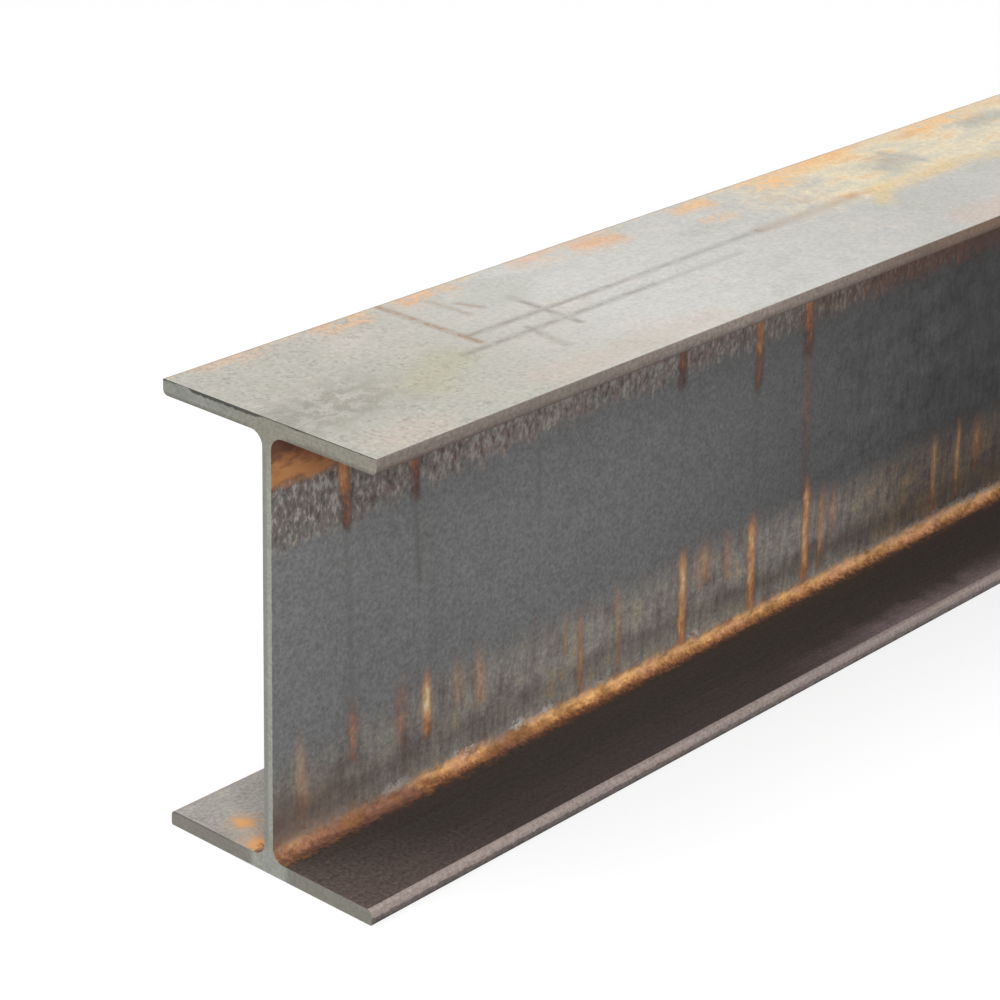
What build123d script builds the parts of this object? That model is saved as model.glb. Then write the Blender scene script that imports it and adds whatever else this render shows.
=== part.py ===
"""A hot-rolled steel H-beam, a parallel-flange section sawn square at both ends.

It stands on its bottom flange. X runs along the beam, Y across the flanges and Z up,
with the origin in the middle of the bottom flange's underside.
"""
import os

from build123d import *

# The rolled section, in millimetres
section_height = 251.4
flange_width = 146.1
flange_thickness = 8.6
web_thickness = 6.0

# Roundings that the rolls leave, where the web runs into a flange and at the flange toes
root_radius = 7.6
toe_inner_radius = 3.0
toe_outer_radius = 0.8

# The sawn length
beam_length = 2000.0


def section_corners():
    """The twelve corners of the H, anticlockwise from the lower right toe, with their radii."""
    toe = flange_width / 2
    web_face = web_thickness / 2
    outer_face = section_height / 2
    inner_face = outer_face - flange_thickness
    upper_right = [
        (web_face, inner_face, root_radius),
        (toe, inner_face, toe_inner_radius),
        (toe, outer_face, toe_outer_radius),
    ]
    lower_right = [(across, -up, radius) for across, up, radius in reversed(upper_right)]
    right = lower_right + upper_right
    left = [(-across, up, radius) for across, up, radius in reversed(right)]
    return right + left


def h_beam():
    """The section drawn out along X, half the length to each side of its middle."""
    middle = Plane(origin=(0, 0, section_height / 2), x_dir=(0, 1, 0), z_dir=(1, 0, 0))
    corners = section_corners()
    with BuildPart() as beam:
        with BuildSketch(middle):
            with BuildLine():
                FilletPolyline(
                    [(across, up) for across, up, radius in corners],
                    radius=[radius for across, up, radius in corners],
                    close=True,
                )
            make_face()
        extrude(amount=beam_length / 2, both=True)
    return beam.part


os.makedirs("parts", exist_ok=True)
export_step(h_beam(), "parts/h_beam.step")
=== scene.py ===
"""The rolled steel beam as the photograph shows it: mill scale, rust, saw cuts and a studio."""
import math
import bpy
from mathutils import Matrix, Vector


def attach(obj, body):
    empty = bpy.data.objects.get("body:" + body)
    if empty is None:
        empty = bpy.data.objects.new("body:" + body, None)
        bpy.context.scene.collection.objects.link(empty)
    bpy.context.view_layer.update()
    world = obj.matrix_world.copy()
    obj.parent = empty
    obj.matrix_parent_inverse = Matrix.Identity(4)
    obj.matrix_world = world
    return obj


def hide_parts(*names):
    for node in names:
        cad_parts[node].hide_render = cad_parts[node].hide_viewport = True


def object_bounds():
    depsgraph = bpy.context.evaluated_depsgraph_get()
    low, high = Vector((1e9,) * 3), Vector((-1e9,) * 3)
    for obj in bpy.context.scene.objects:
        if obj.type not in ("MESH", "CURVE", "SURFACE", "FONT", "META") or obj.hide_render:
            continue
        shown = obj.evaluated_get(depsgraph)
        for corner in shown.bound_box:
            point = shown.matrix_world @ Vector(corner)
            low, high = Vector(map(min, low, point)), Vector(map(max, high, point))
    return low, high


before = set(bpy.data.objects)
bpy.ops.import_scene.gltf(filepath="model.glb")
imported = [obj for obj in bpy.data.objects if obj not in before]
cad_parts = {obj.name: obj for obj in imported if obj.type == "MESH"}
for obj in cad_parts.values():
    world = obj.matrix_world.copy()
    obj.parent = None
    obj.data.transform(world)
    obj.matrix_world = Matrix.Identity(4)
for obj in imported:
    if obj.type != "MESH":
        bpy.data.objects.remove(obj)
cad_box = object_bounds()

from types import SimpleNamespace

import bpy
import numpy as np
from mathutils import Matrix, Vector
from mathutils.geometry import delaunay_2d_cdt

scene = bpy.context.scene
MM = 0.001

# The beam in millimetres: its overall sizes from the frame, the rest as in the part's source
LENGTH, WIDTH, HEIGHT = [(high - low) / MM for low, high in zip(*cad_box)]
FLANGE = 8.6
WEB = 6.0
ROOT_RADIUS = 7.6
TOE_INNER_RADIUS = 3.0
TOE_OUTER_RADIUS = 0.8


# The beam's surface, with its roundings in fine steps

FLAT_STEP = 24.0
EDGE_STEP = 0.8
LENGTH_STEP = 25.0
END_STEPS = np.array([0.0, 0.5, 1.2, 2.5, 4.5])
ROOT_PARTS, TOE_INNER_PARTS, TOE_OUTER_PARTS = 8, 5, 3
OUTER_STRIP = 0.3 * TOE_OUTER_RADIUS

# How a sawn face is filled: triangles inside its outline only, and how near two points are one
INSIDE_ONLY, SAME_POINT = 1, 1e-7


def section_corners():
    """The twelve corners of the H as (across, up, radius, parts), anticlockwise."""
    toe, web_face, outer_face = WIDTH / 2, WEB / 2, HEIGHT / 2
    inner_face = outer_face - FLANGE
    upper_right = [
        (web_face, inner_face, ROOT_RADIUS, ROOT_PARTS),
        (toe, inner_face, TOE_INNER_RADIUS, TOE_INNER_PARTS),
        (toe, outer_face, TOE_OUTER_RADIUS, TOE_OUTER_PARTS),
    ]
    right = [(y, -z, r, n) for y, z, r, n in reversed(upper_right)] + upper_right
    left = [(-y, z, r, n) for y, z, r, n in reversed(right)]
    return right + left


def rounded_corner(before, corner, after, radius, parts):
    """Points of the arc that rounds a corner, from one side to the other."""
    to_before = (before - corner) / np.linalg.norm(before - corner)
    to_after = (after - corner) / np.linalg.norm(after - corner)
    middle = corner + radius * (to_before + to_after)
    turns = np.linspace(0, math.pi / 2, parts + 1)
    return [middle - radius * (math.cos(t) * to_after + math.sin(t) * to_before) for t in turns]


def divided(start, end):
    """Points between two ends of a flat, with a narrow strip beside each rounding."""
    span = np.linalg.norm(end - start)
    parts = max(1, round(span / FLAT_STEP))
    shares = np.linspace(0, 1, parts + 1)[1:-1].tolist()
    if parts > 1:
        shares = [EDGE_STEP / span] + shares + [1 - EDGE_STEP / span]
    return [start + (end - start) * share for share in shares]


def section_ring():
    """Points round the section."""
    corners = section_corners()
    places = [np.array(c[:2]) for c in corners]
    arcs = []
    for i, (_, _, radius, parts) in enumerate(corners):
        before, after = places[i - 1], places[(i + 1) % len(places)]
        arcs.append(rounded_corner(before, places[i], after, radius, parts))
    ring = []
    for i, arc in enumerate(arcs):
        ring += arc + divided(arc[-1], arcs[(i + 1) % len(arcs)][0])
    return np.array(ring) + (0, HEIGHT / 2)


def stations():
    """Places along the beam, closer together at the sawn ends."""
    near = END_STEPS - LENGTH / 2
    inner = LENGTH - 2 * END_STEPS[-1]
    middle = np.linspace(near[-1], near[-1] + inner, round(inner / LENGTH_STEP) + 1)
    return np.concatenate([near[:-1], middle, -near[-2::-1]])


LOOKS = ["web", "seat", "top", "toe", "hidden", "sawn"]


def look_of(across, up):
    """Which look a strip of the section has, from its middle.

    The web's look and a flange's meet halfway round the root.
    """
    depth = min(up, HEIGHT - up)
    upper = up > HEIGHT / 2
    if depth < OUTER_STRIP:
        return "top" if upper else "hidden"
    if across > WIDTH / 2 - TOE_INNER_RADIUS:
        return "toe"
    if across - WEB / 2 > depth - FLANGE:
        return "hidden" if upper else "seat"
    return "web"


def beam_skin():
    """The section drawn out along the beam and closed by its two sawn faces."""
    ring, along = section_ring(), stations()
    count, last = len(ring), len(along) - 1
    points = np.zeros((len(along), count, 3))
    points[:, :, 0] = along[:, None]
    points[:, :, 1:] = ring[None]
    first = np.arange(last)[:, None] * count
    here = np.arange(count)[None]
    there = (here + 1) % count
    sides = np.stack([first + here, first + count + here, first + count + there, first + there], -1)
    faces = sides.reshape(-1, 4)[:, ::-1].tolist()
    loop = [(i, (i + 1) % count) for i in range(count)]
    filled = delaunay_2d_cdt([Vector(p) for p in ring], loop, [], INSIDE_ONLY, SAME_POINT)
    _, _, triangles, ring_points, _, _ = filled
    caps = [[ring_points[corner][0] for corner in triangle] for triangle in triangles]
    faces += [face[::-1] for face in caps]
    faces += [[c + last * count for c in face] for face in caps]
    mesh = bpy.data.meshes.new("h_beam_skin")
    mesh.from_pydata((points.reshape(-1, 3) * MM).tolist(), [], faces)
    middles = (ring + np.roll(ring, -1, 0)) / 2
    strips = [LOOKS.index(look_of(abs(across), up)) for across, up in middles]
    worn = strips * last + [LOOKS.index("sawn")] * (2 * len(caps))
    mesh.polygons.foreach_set("material_index", worn)
    mesh.polygons.foreach_set("use_smooth", [w != LOOKS.index("sawn") for w in worn])
    mesh.update()
    return bpy.data.objects.new("h_beam_skin", mesh)


skin = beam_skin()
scene.collection.objects.link(skin)
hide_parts("h_beam")
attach(skin, "root")


# Fields over the surface, drawn as nodes of a material

class Field:
    """A value over the surface, given by a node's output."""

    def __init__(self, socket):
        self.socket = socket

    def __add__(self, other):
        return calc("ADD", self, other)

    def __sub__(self, other):
        return calc("SUBTRACT", self, other)

    def __rsub__(self, other):
        return calc("SUBTRACT", other, self)

    def __mul__(self, other):
        return calc("MULTIPLY", self, other)

    def __abs__(self):
        return calc("ABSOLUTE", self)

    __radd__, __rmul__ = __add__, __mul__


def node_for(kind, *values):
    """A new node in the material that a field among the values belongs to."""
    tree = next(v.socket.id_data for v in values if isinstance(v, Field))
    return tree.nodes.new(kind)


def put(socket, value):
    """Links a field to an input, or sets the input's own value."""
    if isinstance(value, Field):
        socket.id_data.links.new(value.socket, socket)
    else:
        socket.default_value = value


def applied(node, *values):
    """Puts values on the inputs that a node uses, in their order, and gives its result."""
    for socket, value in zip([s for s in node.inputs if s.enabled], values):
        put(socket, value)
    return Field(next(s for s in node.outputs if s.enabled))


def calc(operation, *values):
    """A sum, product or the like of fields and numbers."""
    node = node_for("ShaderNodeMath", *values)
    node.operation = operation
    return applied(node, *values)


def larger(first, second):
    """The larger of two values."""
    return calc("MAXIMUM", first, second)


def passing(field, start, end, first, last, easing="SMOOTHSTEP"):
    """A value that goes from first to last while the field goes from start to end."""
    node = node_for("ShaderNodeMapRange", field)
    node.interpolation_type = easing
    return applied(node, field, start, end, first, last)


def fade(field, zero, one):
    """0 where the field is at zero or before, 1 where it is at one or past, eased between."""
    return passing(field, zero, one, 0.0, 1.0)


def between(field, start, end, soft):
    """1 from start to end, fading out over a soft edge on either side."""
    return fade(field, start - soft, start + soft) * fade(field, end + soft, end - soft)


def mix(share, under, over):
    """A colour partly covered by another."""
    node = node_for("ShaderNodeMix", share, under, over)
    node.data_type = "RGBA"
    return applied(node, share, under, over)


def vector_calc(operation, *values):
    """A sum, product or the like of places, colours and numbers."""
    node = node_for("ShaderNodeVectorMath", *values)
    node.operation = operation
    return applied(node, *values)


def scaled(colour, factor):
    """A colour made lighter or darker."""
    return vector_calc("SCALE", colour if isinstance(colour, Field) else colour[:3], factor)


def ramp(field, stops):
    """The colour and the fourth value chosen at some stops of a field, passing evenly between them."""
    low, high = stops[0][0], stops[-1][0]
    node = node_for("ShaderNodeValToRGB", field)
    put(node.inputs["Fac"], (field - low) * (1 / (high - low)))
    elements = node.color_ramp.elements
    while len(elements) < len(stops):
        elements.new(0.5)
    for element, (at, colour) in zip(elements, stops):
        element.position = (at - low) / (high - low)
        element.color = colour
    return Field(node.outputs["Color"]), Field(node.outputs["Alpha"])


def levels(field, stops):
    """A value chosen at some stops of a field, passing evenly between them."""
    return ramp(field, [(at, (level, level, level, 1)) for at, level in stops])[0]


def tinted(field, stops):
    """A screen colour chosen at some stops of a field, passing evenly between them."""
    return ramp(field, [(at, srgb(*colour)) for at, colour in stops])[0]


def noise(place, size, detail=2.0, roughness=0.5, seed=0.0):
    """A cloudy pattern about one half, with lumps of this size along X, Y and Z."""
    node = node_for("ShaderNodeTexNoise", place)
    stretched = vector_calc("MULTIPLY_ADD", place, [1 / s for s in size], (seed, seed, seed))
    put(node.inputs["Vector"], stretched)
    node.inputs["Scale"].default_value = 1.0
    node.inputs["Detail"].default_value = detail
    node.inputs["Roughness"].default_value = roughness
    return Field(node.outputs["Fac"])


def line_noise(field, size, seed=0.0):
    """A wavering value about one half that changes along one field only."""
    node = node_for("ShaderNodeTexNoise", field)
    node.noise_dimensions = "1D"
    put(node.inputs["W"], field * (1 / size) + seed)
    node.inputs["Scale"].default_value = 1.0
    node.inputs["Detail"].default_value = 1.0
    return Field(node.outputs["Fac"])


def split(field):
    """The three parts of a place or a colour."""
    node = node_for("ShaderNodeSeparateXYZ", field)
    put(node.inputs[0], field)
    return [Field(s) for s in node.outputs]


def srgb(red, green, blue):
    """A colour as a screen shows it, in the linear values that nodes use."""
    def linear(level):
        share = level / 255
        return share / 12.92 if share <= 0.04045 else ((share + 0.055) / 1.055) ** 2.4
    return (linear(red), linear(green), linear(blue), 1.0)


class Spot:
    """A point's place on the beam in millimetres: along from the near end, across and up.

    It also has the rise above the bottom flange, the drop below the top one, the way out from
    the web's face, and front, which is 1 on the seen side.
    """

    def __init__(self, tree):
        where = Field(tree.nodes.new("ShaderNodeTexCoord").outputs["Object"])
        self.place = vector_calc("MULTIPLY_ADD", where, [1 / MM] * 3, (LENGTH / 2, 0, 0))
        self.along, self.y, self.z = split(self.place)
        self.rise = self.z - FLANGE
        self.drop = HEIGHT - FLANGE - self.z
        self.out = abs(self.y) - WEB / 2
        self.front = fade(self.y, 0.5, -0.5)


# Patterns and rust that more than one look has

RUST_TINTS = [
    (0.0, (66, 42, 36)), (0.25, (118, 74, 52)), (0.5, (166, 110, 70)), (0.75, (194, 148, 104)),
    (1.0, (208, 188, 150)),
]


def fine_grain(at):
    """Specks about as fine as the photograph shows."""
    return noise(at.place, (2.2, 2.2, 2.2), detail=2, roughness=0.7)


def crusted(at):
    """Lumps of a rust crust."""
    return noise(at.place, (4.5, 4.5, 4.5), detail=2, roughness=0.65)


def roll_lines(at):
    """Fine lines along the beam, left by the rolls."""
    return noise(at.place, (170, 3, 3), detail=2, roughness=0.6)


def mottled(at):
    """Lighter and darker blotches."""
    return noise(at.place, (14, 14, 14), detail=3)


def root_line(at, crust, grain):
    """How far the rust in the lower root covers, and its colour.

    It is dull at the near end and brighter further along, with pinker and browner clumps.
    """
    lumps = noise(at.place, (15, 6, 6), detail=3, roughness=0.65, seed=4)
    clumps = noise(at.place, (17, 9, 9), detail=1, roughness=0.6, seed=9)
    low = at.rise - 0.66 * at.out + 8 * (crust - 0.5) + 4 * (grain - 0.5)
    near = fade(at.along, 80, 20) * at.front
    lower_edge = -8 + 1.5 * fade(at.along, 250, 420)
    cover = fade(low, 11 + 7 * near, 5) * fade(low, lower_edge, lower_edge + 5)
    bright = levels(at.along + 40 * (crust - 0.5), [
        (0, 0.1), (20, 0.25), (40, 0.0), (100, 0.0), (118, 0.8), (158, 0.8), (168, 0.1), (184, 0.1),
        (200, 0.75), (250, 1.0), (350, 0.8), (450, 1.0), (550, 0.7), (650, 0.8), (900, 0.3), (1200, 0.8),
        (1500, 0.3), (1750, 0.7), (2000, 0.2),
    ])
    dull_tint = tinted(low, [
        (-8, (74, 54, 44)), (-3, (110, 74, 58)), (1, (134, 92, 72)), (5, (134, 104, 86)), (9, (120, 106, 96)),
    ])
    bright_tint = tinted(low, [
        (-7, (64, 46, 37)), (-4, (98, 64, 46)), (-1.5, (144, 96, 60)), (1, (190, 136, 82)),
        (3.5, (218, 166, 108)), (6, (206, 160, 110)), (8.5, (160, 130, 102)), (10.5, (124, 108, 96)),
    ])
    colour = mix(fade(lumps, 0.5, 0.3) * 0.6, mix(bright, dull_tint, bright_tint), srgb(118, 72, 50))
    colour = mix(fade(lumps, 0.54, 0.72) * bright * fade(low, -1, 3) * 0.6, colour, srgb(226, 180, 116))
    colour = mix(fade(clumps, 0.52, 0.64) * bright * fade(low, -3, 2) * 0.6, colour, srgb(200, 146, 114))
    colour = mix(fade(clumps, 0.46, 0.34) * 0.55, colour, srgb(136, 92, 50))
    return cover, scaled(colour, 0.1 + 0.9 * grain + 0.9 * lumps)


# The steel's looks, one for each kind of face. Each gives a colour, a roughness and a height.
# Places and sizes are millimetres on the beam, colours are screen levels, other numbers are factors.

# How far rust that runs down leans, from which height, and the length that the photograph shows
RUN_LEAN, LEAN_FROM = 0.06, HEIGHT - 26
SEEN_LENGTH = 700

# Runs on the seen face of the web: (along, from, to, half width, strength, tint)
UPPER_RUNS = [
    (49, 226, 178, 6.5, 1.2, 0.28), (100, 224, 178, 6.5, 1.1, 0.16), (194, 220, 186, 5, 0.4, 0.1),
    (318, 224, 178, 7, 1.1, 0.08), (374, 218, 188, 6, 0.45, 0.3), (389, 222, 158, 7, 1.0, 0.3),
    (399, 218, 188, 5, 0.5, 0.2), (437, 222, 166, 8.5, 1.0, 0.26), (454, 218, 188, 6, 0.5, 0.3),
    (480, 216, 194, 6, 0.35, 0.3), (584, 218, 188, 7, 0.5, 0.4), (594, 220, 184, 6, 0.6, 0.5),
    (620, 216, 190, 7, 0.5, 0.4), (648, 218, 188, 6, 0.5, 0.4),
]
LONG_RUN = [(438, 196, 60, 11, 0.42, 0.36)]
LOWER_RUNS = [
    (10, 72, 24, 9, 0.42, 0.9), (48, 78, 44, 9.5, 0.6, 0.46), (85, 80, 18, 12, 0.5, 0.42),
    (104, 74, 36, 6.5, 0.95, 0.7), (128, 74, 46, 9, 0.4, 0.95), (145, 74, 40, 9, 0.5, 0.85),
    (191, 84, 62, 6, 0.3, 0.4), (217, 70, 46, 6, 0.4, 1.0), (229, 66, 8, 7, 0.55, 0.62),
    (262, 74, 8, 7, 0.45, 0.75), (320, 76, 4, 7, 1.0, 0.6), (340, 74, 46, 16, 0.55, 0.8),
    (362, 74, 44, 10, 0.45, 0.8), (386, 77, 0, 7, 1.05, 0.58), (440, 84, 0, 7, 1.0, 0.52),
    (456, 74, 18, 8, 0.6, 0.62), (468, 72, 40, 7, 0.55, 0.65), (577, 72, 20, 6, 0.55, 0.85),
    (604, 76, 22, 5, 0.6, 0.75), (626, 72, 36, 12, 0.5, 0.6),
]
DARK_RUNS = [
    (49, 184, 66, 5, 0.4, 0), (100, 178, 130, 5, 0.55, 0), (110, 168, 80, 11, 0.25, 0),
    (196, 188, 136, 5, 0.4, 0), (319, 176, 126, 5, 0.25, 0), (388, 166, 84, 6, 0.36, 0),
]


def run_marks(lean_along, up, marks):
    """How far some runs cover the web, and their tint, redder towards a run's lower end."""
    stops = []
    for place, start, end, half_width, strength, tint in marks:
        for aside, level in ((-half_width, 0), (0, strength), (half_width, 0)):
            stops.append((place + aside, (level, start / HEIGHT, end / HEIGHT, tint)))
    values, tint = ramp(lean_along, stops)
    strength, start, end = split(values)
    start, end = start * HEIGHT, end * HEIGHT
    length = fade(up, start + 10, start - 12) * fade(up, end - 4, end + 4)
    fallen = fade(up, 0.6 * start + 0.4 * end, end)
    return fade(strength * (0.75 + 0.25 * length), 0.04, 0.95) * length, tint - 0.4 * fallen


def web_patterns(at):
    """The patterns that the web's marks share."""
    grain = fine_grain(at)
    return SimpleNamespace(
        grain=grain,
        speckled=0.34 + 1.32 * grain,
        rain=noise(at.place, (4, 9, 12), detail=3, roughness=0.65),
        blots=noise(at.place, (22, 9, 13), detail=3, roughness=0.6, seed=5),
        crust=crusted(at),
        flecks=noise(at.place, (2.8, 9, 5), detail=2, roughness=0.6),
        streaks=noise(at.place, (5, 9, 24), detail=3, roughness=0.7, seed=4),
    )


def bare_scale(at, by):
    """The web's grey level, and its colour with specks and faint blots."""
    tone = levels(at.along, [
        (0, 0.139), (20, 0.137), (50, 0.128), (110, 0.129), (190, 0.136), (290, 0.129), (390, 0.107),
        (480, 0.075), (620, 0.033), (760, 0.050), (980, 0.091), (1240, 0.113), (1480, 0.072), (1720, 0.096),
        (2000, 0.120),
    ])
    blotted = 0.24 + 1.7 * fade(tone, 0.096, 0.048)
    return tone, scaled((1, 1, 1), tone * by.speckled * (1 + blotted * (by.rain + by.blots - 1)))


def washed_strip(at, by, colour):
    """The rain-washed strip above the lower flange, browner further along, with a dark band through it."""
    top_of_wash = levels(at.along, [
        (0, 52), (60, 56), (110, 62), (300, 62), (450, 64), (640, 66), (900, 48), (1300, 70), (2000, 56),
    ])
    washed = fade(at.rise + 26 * (by.blots - 0.5) + 16 * (by.rain - 0.5), top_of_wash + 8, top_of_wash - 18)
    stain = 0.6 * by.blots + 0.4 * by.streaks
    greyer = tinted(stain, [
        (0.34, (108, 97, 91)), (0.45, (122, 115, 109)), (0.55, (134, 129, 121)), (0.66, (146, 132, 106)),
    ])
    browner = tinted(stain, [
        (0.36, (94, 80, 78)), (0.46, (120, 106, 98)), (0.54, (136, 117, 97)), (0.64, (160, 132, 104)),
    ])
    wash_tint = mix(fade(at.along, 470, 570), greyer, browner)
    wash_level = levels(at.along, [
        (0, 0.70), (90, 0.80), (180, 1.0), (260, 1.08), (350, 1.1), (450, 1.15), (520, 0.85), (560, 0.64),
        (650, 0.48), (800, 0.75), (1100, 1.0), (2000, 0.9),
    ])
    streaked = by.speckled * (0.58 + 0.84 * by.streaks)
    colour = mix(washed * 0.85, colour, scaled(wash_tint, wash_level * streaked))
    reddened = fade(at.along, 100, 10) * fade(at.rise + 16 * (by.blots - 0.5), 44, 20)
    colour = mix(reddened * 0.5, colour, srgb(107, 83, 73))
    band = between(at.rise + 14 * (by.blots - 0.5) + 12 * (by.rain - 0.5), 15, 29, 8)
    return mix(band * (0.36 + 0.24 * fade(at.along, 300, 450)), colour, srgb(70, 59, 53))


def veiled(at, by, tone, colour):
    """A brown veil below the top flange, with pale and dark flecks, redder further along."""
    veil_depth = levels(at.along, [
        (0, 64), (60, 64), (130, 58), (330, 57), (450, 56), (700, 54), (2000, 60),
    ])
    lower_edge = at.drop + 24 * (by.rain - 0.5) + 16 * (by.crust - 0.5)
    veil = fade(lower_edge, veil_depth + 4, veil_depth - 10)
    veil_tint = tinted(0.4 * by.blots + 0.7 * by.crust - 0.05, [
        (0.34, (114, 93, 87)), (0.5, (110, 101, 95)), (0.66, (108, 104, 92)),
    ])
    veil_tint = mix(fade(at.along, 380, 560), veil_tint, srgb(110, 70, 53))
    veil_level = levels(at.along, [
        (0, 0.70), (90, 0.95), (150, 1.4), (300, 1.4), (400, 1.25), (480, 1.0), (620, 0.6), (900, 0.8),
        (2000, 1.0),
    ])
    colour = mix(veil * 0.8, colour, scaled(veil_tint, veil_level * by.speckled))
    clear = fade(tone, 0.02, 0.125) * (1 - 0.25 * fade(at.along, 150, 70))
    colour = mix(veil * fade(by.flecks, 0.49, 0.66) * 0.85 * clear, colour, srgb(158, 153, 146))
    return mix(veil * fade(by.flecks, 0.47, 0.30) * 0.7, colour, srgb(58, 48, 44))


def root_patch(at, by):
    """How far the rust in the upper root covers the web, most at the near end, and its colour."""
    smears = noise(at.place, (14, 6, 5), detail=2, roughness=0.6, seed=2)
    cover = fade(at.drop + 9 * (smears - 0.5), 32, 26) * (0.3 + 0.7 * fade(at.along, 62, 38))
    colour = tinted(0.6 * smears + 0.2 * by.crust + 0.24 * fade(at.drop, 26, 2), [
        (0.36, (160, 110, 70)), (0.46, (138, 90, 58)), (0.55, (112, 70, 47)), (0.66, (88, 54, 40)),
    ])
    return cover, colour


def run_down(at, by, colour):
    """Runs of rust, where the photograph shows them, and by chance past its edge and on the other face."""
    sway = 3 * (noise(at.place, (80, 9, 60), detail=1, seed=8) - 0.5)
    lean_along = at.along + sway + 3 * (by.rain - 0.5) + RUN_LEAN * at.z - RUN_LEAN * LEAN_FROM
    seen = at.front * fade(at.along, SEEN_LENGTH, SEEN_LENGTH - 20)
    streaky = 0.3 + 0.6 * by.rain + 0.6 * by.crust
    up = at.z + 12 * (by.rain - 0.5)
    cover, _ = run_marks(lean_along, up, DARK_RUNS)
    colour = mix(cover * seen, colour, srgb(76, 73, 67))
    for marks in (LONG_RUN, UPPER_RUNS[::2], UPPER_RUNS[1::2], LOWER_RUNS[::2], LOWER_RUNS[1::2]):
        cover, tint = run_marks(lean_along, up, marks)
        shaded_tint = tint + 0.9 * (by.rain - 0.5) + 0.6 * (by.crust - 0.5) + 0.5 * (cover - 0.6)
        colour = mix(cover * seen * streaky, colour, tinted(shaded_tint, RUST_TINTS))
    chance_along = lean_along + 900 * at.front
    chance = line_noise(chance_along, 8, seed=3)
    reach = 10 + 130 * line_noise(chance_along, 14, seed=6)
    chance_runs = fade(chance, 0.58, 0.76) * fade(at.rise, reach, reach * 0.6)
    chance_runs = chance_runs + fade(chance, 0.42, 0.26) * fade(at.drop, reach * 0.9, reach * 0.6)
    chance_tint = tinted(0.5 + 1.4 * (by.blots - 0.5) + 0.7 * (by.rain - 0.5), RUST_TINTS)
    return mix(chance_runs * (1 - seen) * streaky * 0.8, colour, chance_tint)


def pale_specks(at, by):
    """How far pale specks cover a narrow strip above the lower root, in some places along it."""
    strewn = levels(at.along, [
        (0, 0), (80, 0), (87, 0.5), (93, 0.5), (98, 0), (135, 0), (140, 1), (149, 1), (154, 0), (180, 0),
        (184, 1), (192, 1), (197, 0), (208, 0), (212, 1), (216, 1), (220, 0), (254, 0), (258, 0.6), (262, 0),
        (338, 0), (342, 1), (347, 1), (352, 0), (500, 0.1), (700, 0.5), (1000, 0.1), (1400, 0.6), (2000, 0.1),
    ])
    specks = fade(by.crust + 0.5 * (by.grain - 0.5), 0.44, 0.54)
    return specks * between(at.rise, 6, 11, 2.5) * strewn * at.front


def web_paint(at):
    """Grey scale, with a flecked brown veil under the top flange and rain-washed above the lower one."""
    by = web_patterns(at)
    tone, colour = bare_scale(at, by)
    colour = veiled(at, by, tone, washed_strip(at, by, colour))
    patch, patch_colour = root_patch(at, by)
    colour = run_down(at, by, mix(patch, colour, patch_colour))
    line, line_colour = root_line(at, by.crust, by.grain)
    colour = mix(line, colour, line_colour)
    colour = mix(pale_specks(at, by) * 0.9, colour, srgb(196, 188, 180))
    rusty = larger(line, patch)
    roughness = 0.52 + 0.14 * by.rain + 0.18 * rusty
    return colour, roughness, 0.4 * by.grain + 0.3 * by.rain + rusty * by.crust


# Rust spots beside the root on the dusty side, at the near end: (along, y, size)
SEAT_SPOTS = [(17, 36, 9), (7, 14, 11), (30, 26, 5)]


def seat_paint(at):
    """The bottom flange's inner faces: dark and brown on the seen side, partly dirtier scale and partly
    painted shade under the top flange, dusty grey on the other.
    """
    grain, rolled, crust, mottle = fine_grain(at), roll_lines(at), crusted(at), mottled(at)
    # The seen side is painted dark: partly its own dirtier scale, partly painted shade under the top flange.
    dark = mix(fade(at.out + 20 * (mottle - 0.5), 30, 62), srgb(62, 56, 52), srgb(74, 63, 60))
    near_corner = fade(at.along - at.out + 50 * (mottle - 0.5), 60, -30)
    dark = mix(near_corner * 0.65, dark, srgb(94, 81, 75))
    beside_toe = fade(at.out + 16 * (mottle - 0.5), 48, 68) * fade(at.along, 330, 480)
    dark = mix(beside_toe * 0.9, dark, srgb(140, 121, 119))
    gritty = 1.22 + 0.8 * fade(at.along, 130, 10)
    dark = scaled(dark, 0.69 + 0.36 * (rolled - 0.5) + gritty * (grain - 0.4))
    # Darker close to the root.
    beside_root = fade(at.out + 4 * (mottle - 0.5), 24, 10)
    dark = mix(beside_root * 0.3, dark, srgb(54, 42, 37))
    dusty = scaled(srgb(150, 146, 139), 0.10 + 0.60 * mottle + 1.2 * grain)
    dusted = fade(at.out + 24 * (mottle - 0.5), 26, 8) * fade(at.along, 90, 30)
    dusty = mix(dusted * 0.6, dusty, srgb(168, 140, 114))
    # Dirtier scale with painted shade on the seen side, dust on the other.
    colour = mix(at.front, dusty, dark)
    for spot_along, spot_y, size in SEAT_SPOTS:
        aside = vector_calc("DISTANCE", at.place, (spot_along, spot_y, FLANGE))
        colour = mix(fade(aside + 16 * (crust - 0.5), size * 1.7, 0) * 0.8, colour, srgb(186, 148, 112))
        colour = mix(fade(aside + 10 * (crust - 0.5), size * 0.9, 0) * 0.9, colour, srgb(214, 152, 88))
    line, line_colour = root_line(at, crust, grain)
    colour = mix(line, colour, line_colour)
    return colour, 0.58 + 0.12 * mottle + 0.14 * line, 0.4 * grain + 0.4 * rolled + line * crust


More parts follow.
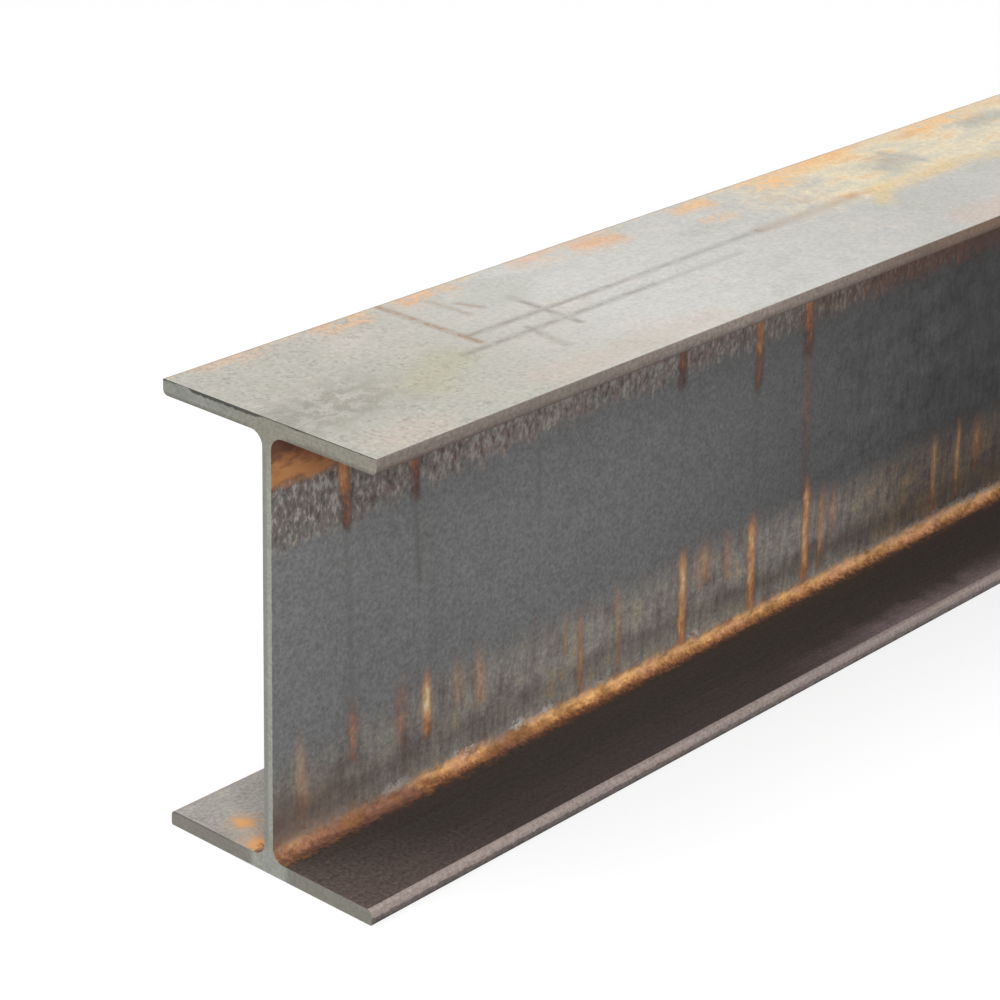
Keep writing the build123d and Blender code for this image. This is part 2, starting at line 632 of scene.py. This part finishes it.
def toe_paint(at):
    """Flange toes: brownish scale, the lower ones paler with a dark ragged lower edge that is partly rough
    scale and partly painted shade, and painted shade along the bottom of the upper ones.
    """
    grain = fine_grain(at)
    rolled = noise(at.place, (60, 1.6, 1.6), detail=2, roughness=0.6)
    ragged = noise(at.place, (4, 4, 4), detail=2)
    low = fade(at.z, 40, 30)
    upper = tinted(at.along, [
        (0, (113, 104, 97)), (150, (115, 106, 99)), (300, (135, 124, 115)), (370, (124, 112, 103)),
        (440, (114, 98, 87)), (560, (116, 91, 74)), (2000, (122, 106, 96)),
    ])
    colour = scaled(mix(low, upper, srgb(151, 137, 131)), 0.10 + 0.56 * rolled + 1.24 * grain)
    # The lower toes' bottom few millimetres are painted darker: partly rough scale at the arris, partly
    # painted shade at the bottom edge.
    lower_edge_scale_and_shade = mix(fade(at.along, 100, 400), srgb(80, 72, 69), srgb(104, 94, 89))
    lower_edge_scale_and_shade_share = fade(at.z + 3 * (ragged - 0.5), 4.8, 3.4)
    colour = mix(lower_edge_scale_and_shade_share * 0.85, colour, scaled(lower_edge_scale_and_shade, 0.3 + 1.4 * grain))
    # Darkest at the very bottom edge: rough scale and painted shade.
    colour = mix(fade(at.z + 5 * (ragged - 0.5), 2.2, 0.8) * 0.8, colour, srgb(58, 52, 51))
    # Painted shade along the bottom of the upper toes, where they round in under the flange.
    inner_edge = HEIGHT - FLANGE
    shaded = fade(at.z + 5 * (ragged - 0.5), inner_edge + 5, inner_edge + 0.5) * (1 - low)
    colour = mix(shaded * 0.75, colour, srgb(86, 68, 64))
    return colour, 0.52 + 0.16 * rolled, 0.5 * grain + 0.6 * rolled


# Marks on the top face: (from along, from y, to along, to y, half width, strength)
GREY_PATCHES = [(555, 30, 573, 34, 11, 0.75), (584, 20, 577, 46, 4, 0.7), (672, 48, 708, 47, 7, 0.75)]
OLIVE_PATCHES = [(85, -24, 122, -6, 12, 0.75)]
PINK_PATCHES = [(20, -62, 50, -62, 9, 0.5), (140, -60, 270, -62, 9, 0.45), (510, -64, 760, -56, 11, 0.7)]
RIM_SPOTS = [
    (24, 69, 58, 68, 7, 0.3), (108, 68, 130, 67, 7, 0.9), (170, 67, 190, 65, 8, 0.95),
    (255, 66, 282, 65, 8, 0.6), (302, 64, 326, 61, 9, 0.85), (395, 64, 416, 63, 6, 0.75),
    (394, 41, 408, 40, 5, 0.4), (466, 62, 490, 56, 9, 0.9), (500, 64, 560, 66, 8, 0.6),
    (640, 62, 690, 64, 8, 0.7),
]
SCORES = [
    (152, 8, 265, 7, 2.1, 0.75), (265, 7, 400, 9, 2.2, 0.6), (130, -9, 285, -8, 2.1, 0.75),
    (285, -8, 360, -8, 2.0, 0.4), (212, 31, 210, -18, 2.4, 0.75), (184, -5, 179, -35, 2.4, 0.65),
]
RUSTY_SCORES = [
    (150, 70, 150, -2, 2.2, 1.0), (176, 58, 177, 30, 2.2, 0.5), (184, 46, 190, 32, 2.2, 0.6),
    (400, 8, 492, 9, 4.0, 0.5),
]
YELLOW_LINE = [
    (497, -10, 518, 8, 5, 0.7), (518, 6, 600, 5, 6, 0.7), (600, 5, 640, -6, 6, 0.6),
    (640, -6, 760, -2, 5, 0.5),
]


def flat_marks(at, wobble, marks):
    """How far some straight marks cover the top face."""
    total = 0
    for start_along, start_y, end_along, end_y, half_width, strength in marks:
        start = Vector((start_along, start_y, HEIGHT))
        run = Vector((end_along, end_y, HEIGHT)) - start
        offset = vector_calc("SUBTRACT", at.place, start)
        reached = larger(vector_calc("DOT_PRODUCT", offset, run.normalized()), 0)
        nearest = vector_calc("SCALE", run.normalized(), calc("MINIMUM", reached, run.length))
        aside = vector_calc("DISTANCE", offset, nearest)
        total = larger(total, fade(aside + wobble, half_width * 2.2, 0) * strength)
    return total


def top_patterns(at):
    """The patterns that the top face's marks share."""
    mottle = noise(at.place, (11, 11, 11), detail=3, roughness=0.6)
    return SimpleNamespace(
        grain=noise(at.place, (2.6, 2.6, 2.6), detail=2, roughness=0.7),
        mottle=mottle,
        cloud=noise(at.place, (60, 34, 60), detail=3),
        swirl=noise(at.place, (34, 13, 13), detail=3, seed=7),
        wobble=5 * (mottle - 0.5),
    )


def dusty_face(at, by):
    """Pale dusty scale with olive and pink patches, smudged and flecked at the near end."""
    colour = tinted(at.along, [
        (0, (165, 162, 153)), (120, (170, 167, 158)), (250, (185, 184, 179)), (340, (182, 181, 176)),
        (480, (175, 173, 168)), (2000, (180, 178, 172)),
    ])
    colour = mix(fade(by.cloud, 0.52, 0.66) * 0.5, colour, srgb(168, 168, 159))
    colour = mix(fade(by.cloud, 0.46, 0.32) * 0.5, colour, srgb(190, 182, 174))
    colour = mix(flat_marks(at, 3 * by.wobble, OLIVE_PATCHES), colour, srgb(164, 161, 138))
    colour = mix(flat_marks(at, 3 * by.wobble, PINK_PATCHES), colour, srgb(184, 167, 155))
    flecked = 0.35 + 0.65 * fade(at.along, 110, 40) * between(at.y, -34, 14, 16)
    smudge = fade(by.mottle + 0.9 * (by.grain - 0.5) + 0.12 * flecked, 0.48, 0.72)
    smudge = smudge * flecked * fade(at.along, 260, 80)
    return mix(smudge * 0.85, colour, srgb(124, 122, 112))


def stained_side(at, by, colour):
    """A cream stain beyond the middle and rust along the far edge, with grey patches left in the stain."""
    blurred = at.y + 18 * (by.mottle - 0.5) + 12 * (by.cloud - 0.5)
    stain = tinted(by.swirl, [
        (0.30, (190, 182, 164)), (0.42, (204, 193, 168)), (0.52, (214, 200, 168)), (0.62, (214, 188, 150)),
        (0.72, (206, 168, 120)),
    ])
    cream = fade(at.along + 160 * (by.mottle - 0.5), 400, 530) * fade(blurred, -8, 14)
    cream = cream * fade(at.along + 500 * (by.cloud - 0.5), 1150, 950)
    colour = mix(cream * 0.85, colour, stain)
    rim = levels(at.along, [
        (0, 0.5), (400, 0.4), (480, 0.8), (740, 0.8), (1000, 0.5), (1250, 0.7), (1600, 0.3), (2000, 0.6),
    ])
    rim_start = 75 - 20 * rim
    rim_share = fade(blurred + 6 * (by.grain - 0.5), rim_start, rim_start + 16) * (0.4 + 0.8 * by.swirl)
    colour = mix(rim_share, colour, srgb(208, 180, 150))
    rim_tint = mix(fade(at.along, 340, 420), srgb(204, 160, 122), srgb(222, 172, 112))
    patchy = fade(by.swirl + 0.5 * (by.mottle - 0.5) + 0.4 * (by.grain - 0.5), 0.28, 0.54)
    colour = mix(flat_marks(at, 4 * by.wobble, RIM_SPOTS) * patchy, colour, rim_tint)
    line = flat_marks(at, 3 * by.wobble, YELLOW_LINE) * (0.4 + 0.6 * patchy)
    colour = mix(line, colour, srgb(202, 178, 130))
    return mix(flat_marks(at, 2 * by.wobble, GREY_PATCHES), colour, srgb(154, 154, 148))


def top_paint(at):
    """The top flange's outer face: pale and dusty, stained towards the far edge, and scored."""
    by = top_patterns(at)
    colour = stained_side(at, by, dusty_face(at, by))
    pitted = 0.5 + 0.7 * fade(at.along, 240, 40)
    colour = scaled(colour, 1 + pitted * (0.5 * (by.mottle - 0.5) + 1.1 * (by.grain - 0.5)))
    broken = 0.25 + 0.75 * fade(by.mottle + 0.9 * (by.grain - 0.5), 0.32, 0.62)
    frayed = by.wobble + 3 * (by.grain - 0.5)
    colour = mix(flat_marks(at, frayed, SCORES) * broken, colour, srgb(124, 118, 109))
    colour = mix(flat_marks(at, frayed, RUSTY_SCORES) * broken, colour, srgb(142, 118, 97))
    far_edge = fade(at.y, WIDTH / 2 - 2.4, WIDTH / 2 - 0.8)
    colour = mix(far_edge * broken * 0.7, colour, srgb(132, 116, 98))
    return colour, 0.5 + 0.2 * by.mottle, 0.5 * by.grain + 0.4 * by.mottle


def hidden_paint(at):
    """The undersides of both flanges: plain brownish scale, rusty in the upper roots."""
    rolled, mottle = roll_lines(at), mottled(at)
    colour = scaled(srgb(93, 86, 81), 0.66 + 0.4 * rolled + 0.3 * mottle)
    rusty = fade(larger(at.drop, at.out) + 30 * (mottle - 0.5), 22, 8) * fade(at.z, FLANGE, HEIGHT / 2)
    rusty_tint = tinted(mottle, [(0.35, (154, 93, 44)), (0.65, (76, 41, 27))])
    return mix(rusty * 0.8, colour, rusty_tint), 0.6 + 0.2 * mottle, 0.6 * rolled + 0.6 * mottle


# A lump so long that a pattern stays the same that way
UNCHANGING = 1e6


def sawn_paint(at):
    """The sawn ends: bare grey steel with fine saw marks, dark lips and a dark ragged line along the near top
    edge.
    """
    grain = fine_grain(at)
    saw = noise(at.place, (UNCHANGING, 60, 0.9), detail=2, seed=1)
    mottle = noise(at.place, (13, 13, 13), detail=2)
    ragged = noise(at.place, (3.2, 3.2, 3.2), detail=2)
    flange = fade(at.z, HEIGHT - 30, HEIGHT - 12)
    colour = mix(flange, srgb(147, 148, 139), srgb(133, 130, 118))
    colour = mix(flange * fade(at.y, 0, 40) * 0.7, colour, srgb(132, 135, 129))
    colour = scaled(colour, 0.10 + 0.50 * mottle + 0.40 * saw + 0.90 * grain)
    lower_lip = between(at.z + 1.6 * (ragged - 0.5), 7.6, 10, 0.6) * fade(at.y, 22, 34)
    colour = mix(lower_lip * 0.6, colour, srgb(84, 82, 72))
    upper_lip = fade(at.drop + 4 * (ragged - 0.5), -2.6, -0.6) * fade(at.out, 8, 12)
    colour = mix(upper_lip * 0.5, colour, srgb(92, 80, 72))
    web_half = fade(at.y, -0.6, 0.8) * fade(at.drop, 4, 14) * fade(at.rise, 2, 12)
    colour = mix(web_half * 0.55, colour, srgb(113, 114, 108))
    # A dark ragged line just under the near end's top edge, deeper in some places.
    top_line_depth = levels(at.y, [
        (-WIDTH / 2, 0.4), (-26, 0.6), (-19, 1.0), (-14, 0.5), (2, 0.5), (6, 1.4), (10, 1.8), (52, 1.8),
        (55, 0.2), (62, 0.3), (66, 0.8), (WIDTH / 2, 0.9),
    ])
    top_line_depth = top_line_depth * (0.4 + 1.2 * ragged)
    top_line = fade(at.z, HEIGHT - top_line_depth - 0.35, HEIGHT - top_line_depth + 0.35) * fade(at.along, LENGTH / 2, 0)
    colour = mix(top_line * 0.9, colour, srgb(50, 49, 44))
    return colour, 0.44 + 0.2 * mottle, saw + 0.4 * grain


SPECULAR = 0.3
BUMP_DEPTH = 0.15 * MM


def dress(mesh, name, paint):
    """Adds a material to the mesh, with the colour, roughness and height that its paint gives."""
    material = bpy.data.materials.new(name)
    material.use_nodes = True
    colour, roughness, height = paint(Spot(material.node_tree))
    shader = material.node_tree.nodes["Principled BSDF"]
    put(shader.inputs["Base Color"], colour)
    put(shader.inputs["Roughness"], roughness)
    shader.inputs["Specular IOR Level"].default_value = SPECULAR
    bump = node_for("ShaderNodeBump", height)
    put(bump.inputs["Height"], height)
    bump.inputs["Distance"].default_value = BUMP_DEPTH
    put(shader.inputs["Normal"], Field(bump.outputs["Normal"]))
    mesh.materials.append(material)


PAINTS = [web_paint, seat_paint, top_paint, toe_paint, hidden_paint, sawn_paint]
for look, paint in zip(LOOKS, PAINTS):
    dress(skin.data, look + "_steel", paint)


# The camera, fitted to the photograph's straight edges

EYE = (-1.92798, -0.96101, 0.78929)
TURN, DIP, ROLL = 48.841, 23.450, 1.613
FOCAL_PIXELS, FRAME_PIXELS, SENSOR = 3001.8, 1000, 36.0

camera = bpy.data.objects.new("camera", bpy.data.cameras.new("camera"))
camera.data.sensor_width = SENSOR
camera.data.lens = SENSOR * FOCAL_PIXELS / FRAME_PIXELS
camera.matrix_world = (
    Matrix.Translation(EYE)
    @ Matrix.Rotation(math.radians(-TURN), 4, "Z")
    @ Matrix.Rotation(math.radians(90 - DIP), 4, "X")
    @ Matrix.Rotation(math.radians(ROLL), 4, "Z")
)
scene.collection.objects.link(camera)
scene.camera = camera


# The studio: soft lamps, a world and a floor that are white where they are seen

# Lamps: (name, place, target, size, watts)
LAMPS = [
    ("key", (-1.6, 1.5, 2.6), (-0.5, 0.0, 0.2), (2.4, 1.6), 35),
    ("overhead", (0.2, 0.3, 3.0), (0.1, 0.0, 0.2), (3.0, 1.2), 26),
    ("fill", (-2.3, -1.5, 1.3), (-0.9, 0.0, 0.1), (1.2, 1.2), 54),
    ("back", (2.5, 1.0, 0.5), (0.9, 0.0, 0.12), (1.0, 0.6), 14),
]
AMBIENT = 0.34
FLOOR_REACH, FLOOR_GAP = 40.0, 0.3 * MM
FLOOR_PAINT, FLOOR_GLOW = 0.36, 0.66
NEAR_FLOOR, FAR_FLOOR = 1.6, 5.0


def soft_light(name, spot, target, size, watts):
    """A rectangular lamp that is itself unseen."""
    lamp = bpy.data.lights.new(name, "AREA")
    lamp.shape = "RECTANGLE"
    lamp.size, lamp.size_y = size
    lamp.energy = watts
    holder = bpy.data.objects.new(name, lamp)
    holder.location = spot
    holder.rotation_euler = (Vector(target) - Vector(spot)).to_track_quat("-Z", "Y").to_euler()
    holder.visible_camera = False
    scene.collection.objects.link(holder)


def seen_directly(tree):
    """1 for rays from the camera and for mirrored or refracted ones, 0 for the light of the room."""
    path = tree.nodes.new("ShaderNodeLightPath")
    total = Field(path.outputs["Is Camera Ray"])
    for name in ("Is Glossy Ray", "Is Transmission Ray"):
        total = larger(total, Field(path.outputs[name]))
    return total


def white_world():
    """A world that is white where it is seen and lights the room evenly."""
    world = bpy.data.worlds.new("studio")
    world.use_nodes = True
    background = world.node_tree.nodes["Background"]
    background.inputs["Color"].default_value = (1, 1, 1, 1)
    strength = passing(seen_directly(world.node_tree), 0.0, 1.0, AMBIENT, 1.0, "LINEAR")
    put(background.inputs["Strength"], strength)
    return world


def floor_material():
    """A pale paint that keeps the beam's shadow and brightens into the white background further off."""
    material = bpy.data.materials.new("floor")
    material.use_nodes = True
    tree = material.node_tree
    tree.nodes.clear()
    paint = tree.nodes.new("ShaderNodeBsdfDiffuse")
    paint.inputs["Color"].default_value = (FLOOR_PAINT, FLOOR_PAINT, FLOOR_PAINT, 1)
    spot = Field(tree.nodes.new("ShaderNodeTexCoord").outputs["Object"])
    level = passing(vector_calc("LENGTH", spot), NEAR_FLOOR, FAR_FLOOR, FLOOR_GLOW, 1.0)
    glow = tree.nodes.new("ShaderNodeEmission")
    put(glow.inputs["Strength"], level * seen_directly(tree))
    both = tree.nodes.new("ShaderNodeAddShader")
    put(both.inputs[0], Field(paint.outputs[0]))
    put(both.inputs[1], Field(glow.outputs[0]))
    surface = tree.nodes.new("ShaderNodeOutputMaterial")
    put(surface.inputs["Surface"], Field(both.outputs[0]))
    return material


def pale_floor():
    """A wide flat floor just under the beam."""
    corners = [(-FLOOR_REACH, -FLOOR_REACH, 0), (FLOOR_REACH, -FLOOR_REACH, 0)]
    corners += [(FLOOR_REACH, FLOOR_REACH, 0), (-FLOOR_REACH, FLOOR_REACH, 0)]
    mesh = bpy.data.meshes.new("floor")
    mesh.from_pydata(corners, [], [(0, 1, 2, 3)])
    mesh.materials.append(floor_material())
    floor = bpy.data.objects.new("floor", mesh)
    floor.location.z = -FLOOR_GAP
    return floor


for lamp in LAMPS:
    soft_light(*lamp)
scene.world = white_world()
floor = pale_floor()
scene.collection.objects.link(floor)

scene.view_settings.view_transform = "Standard"
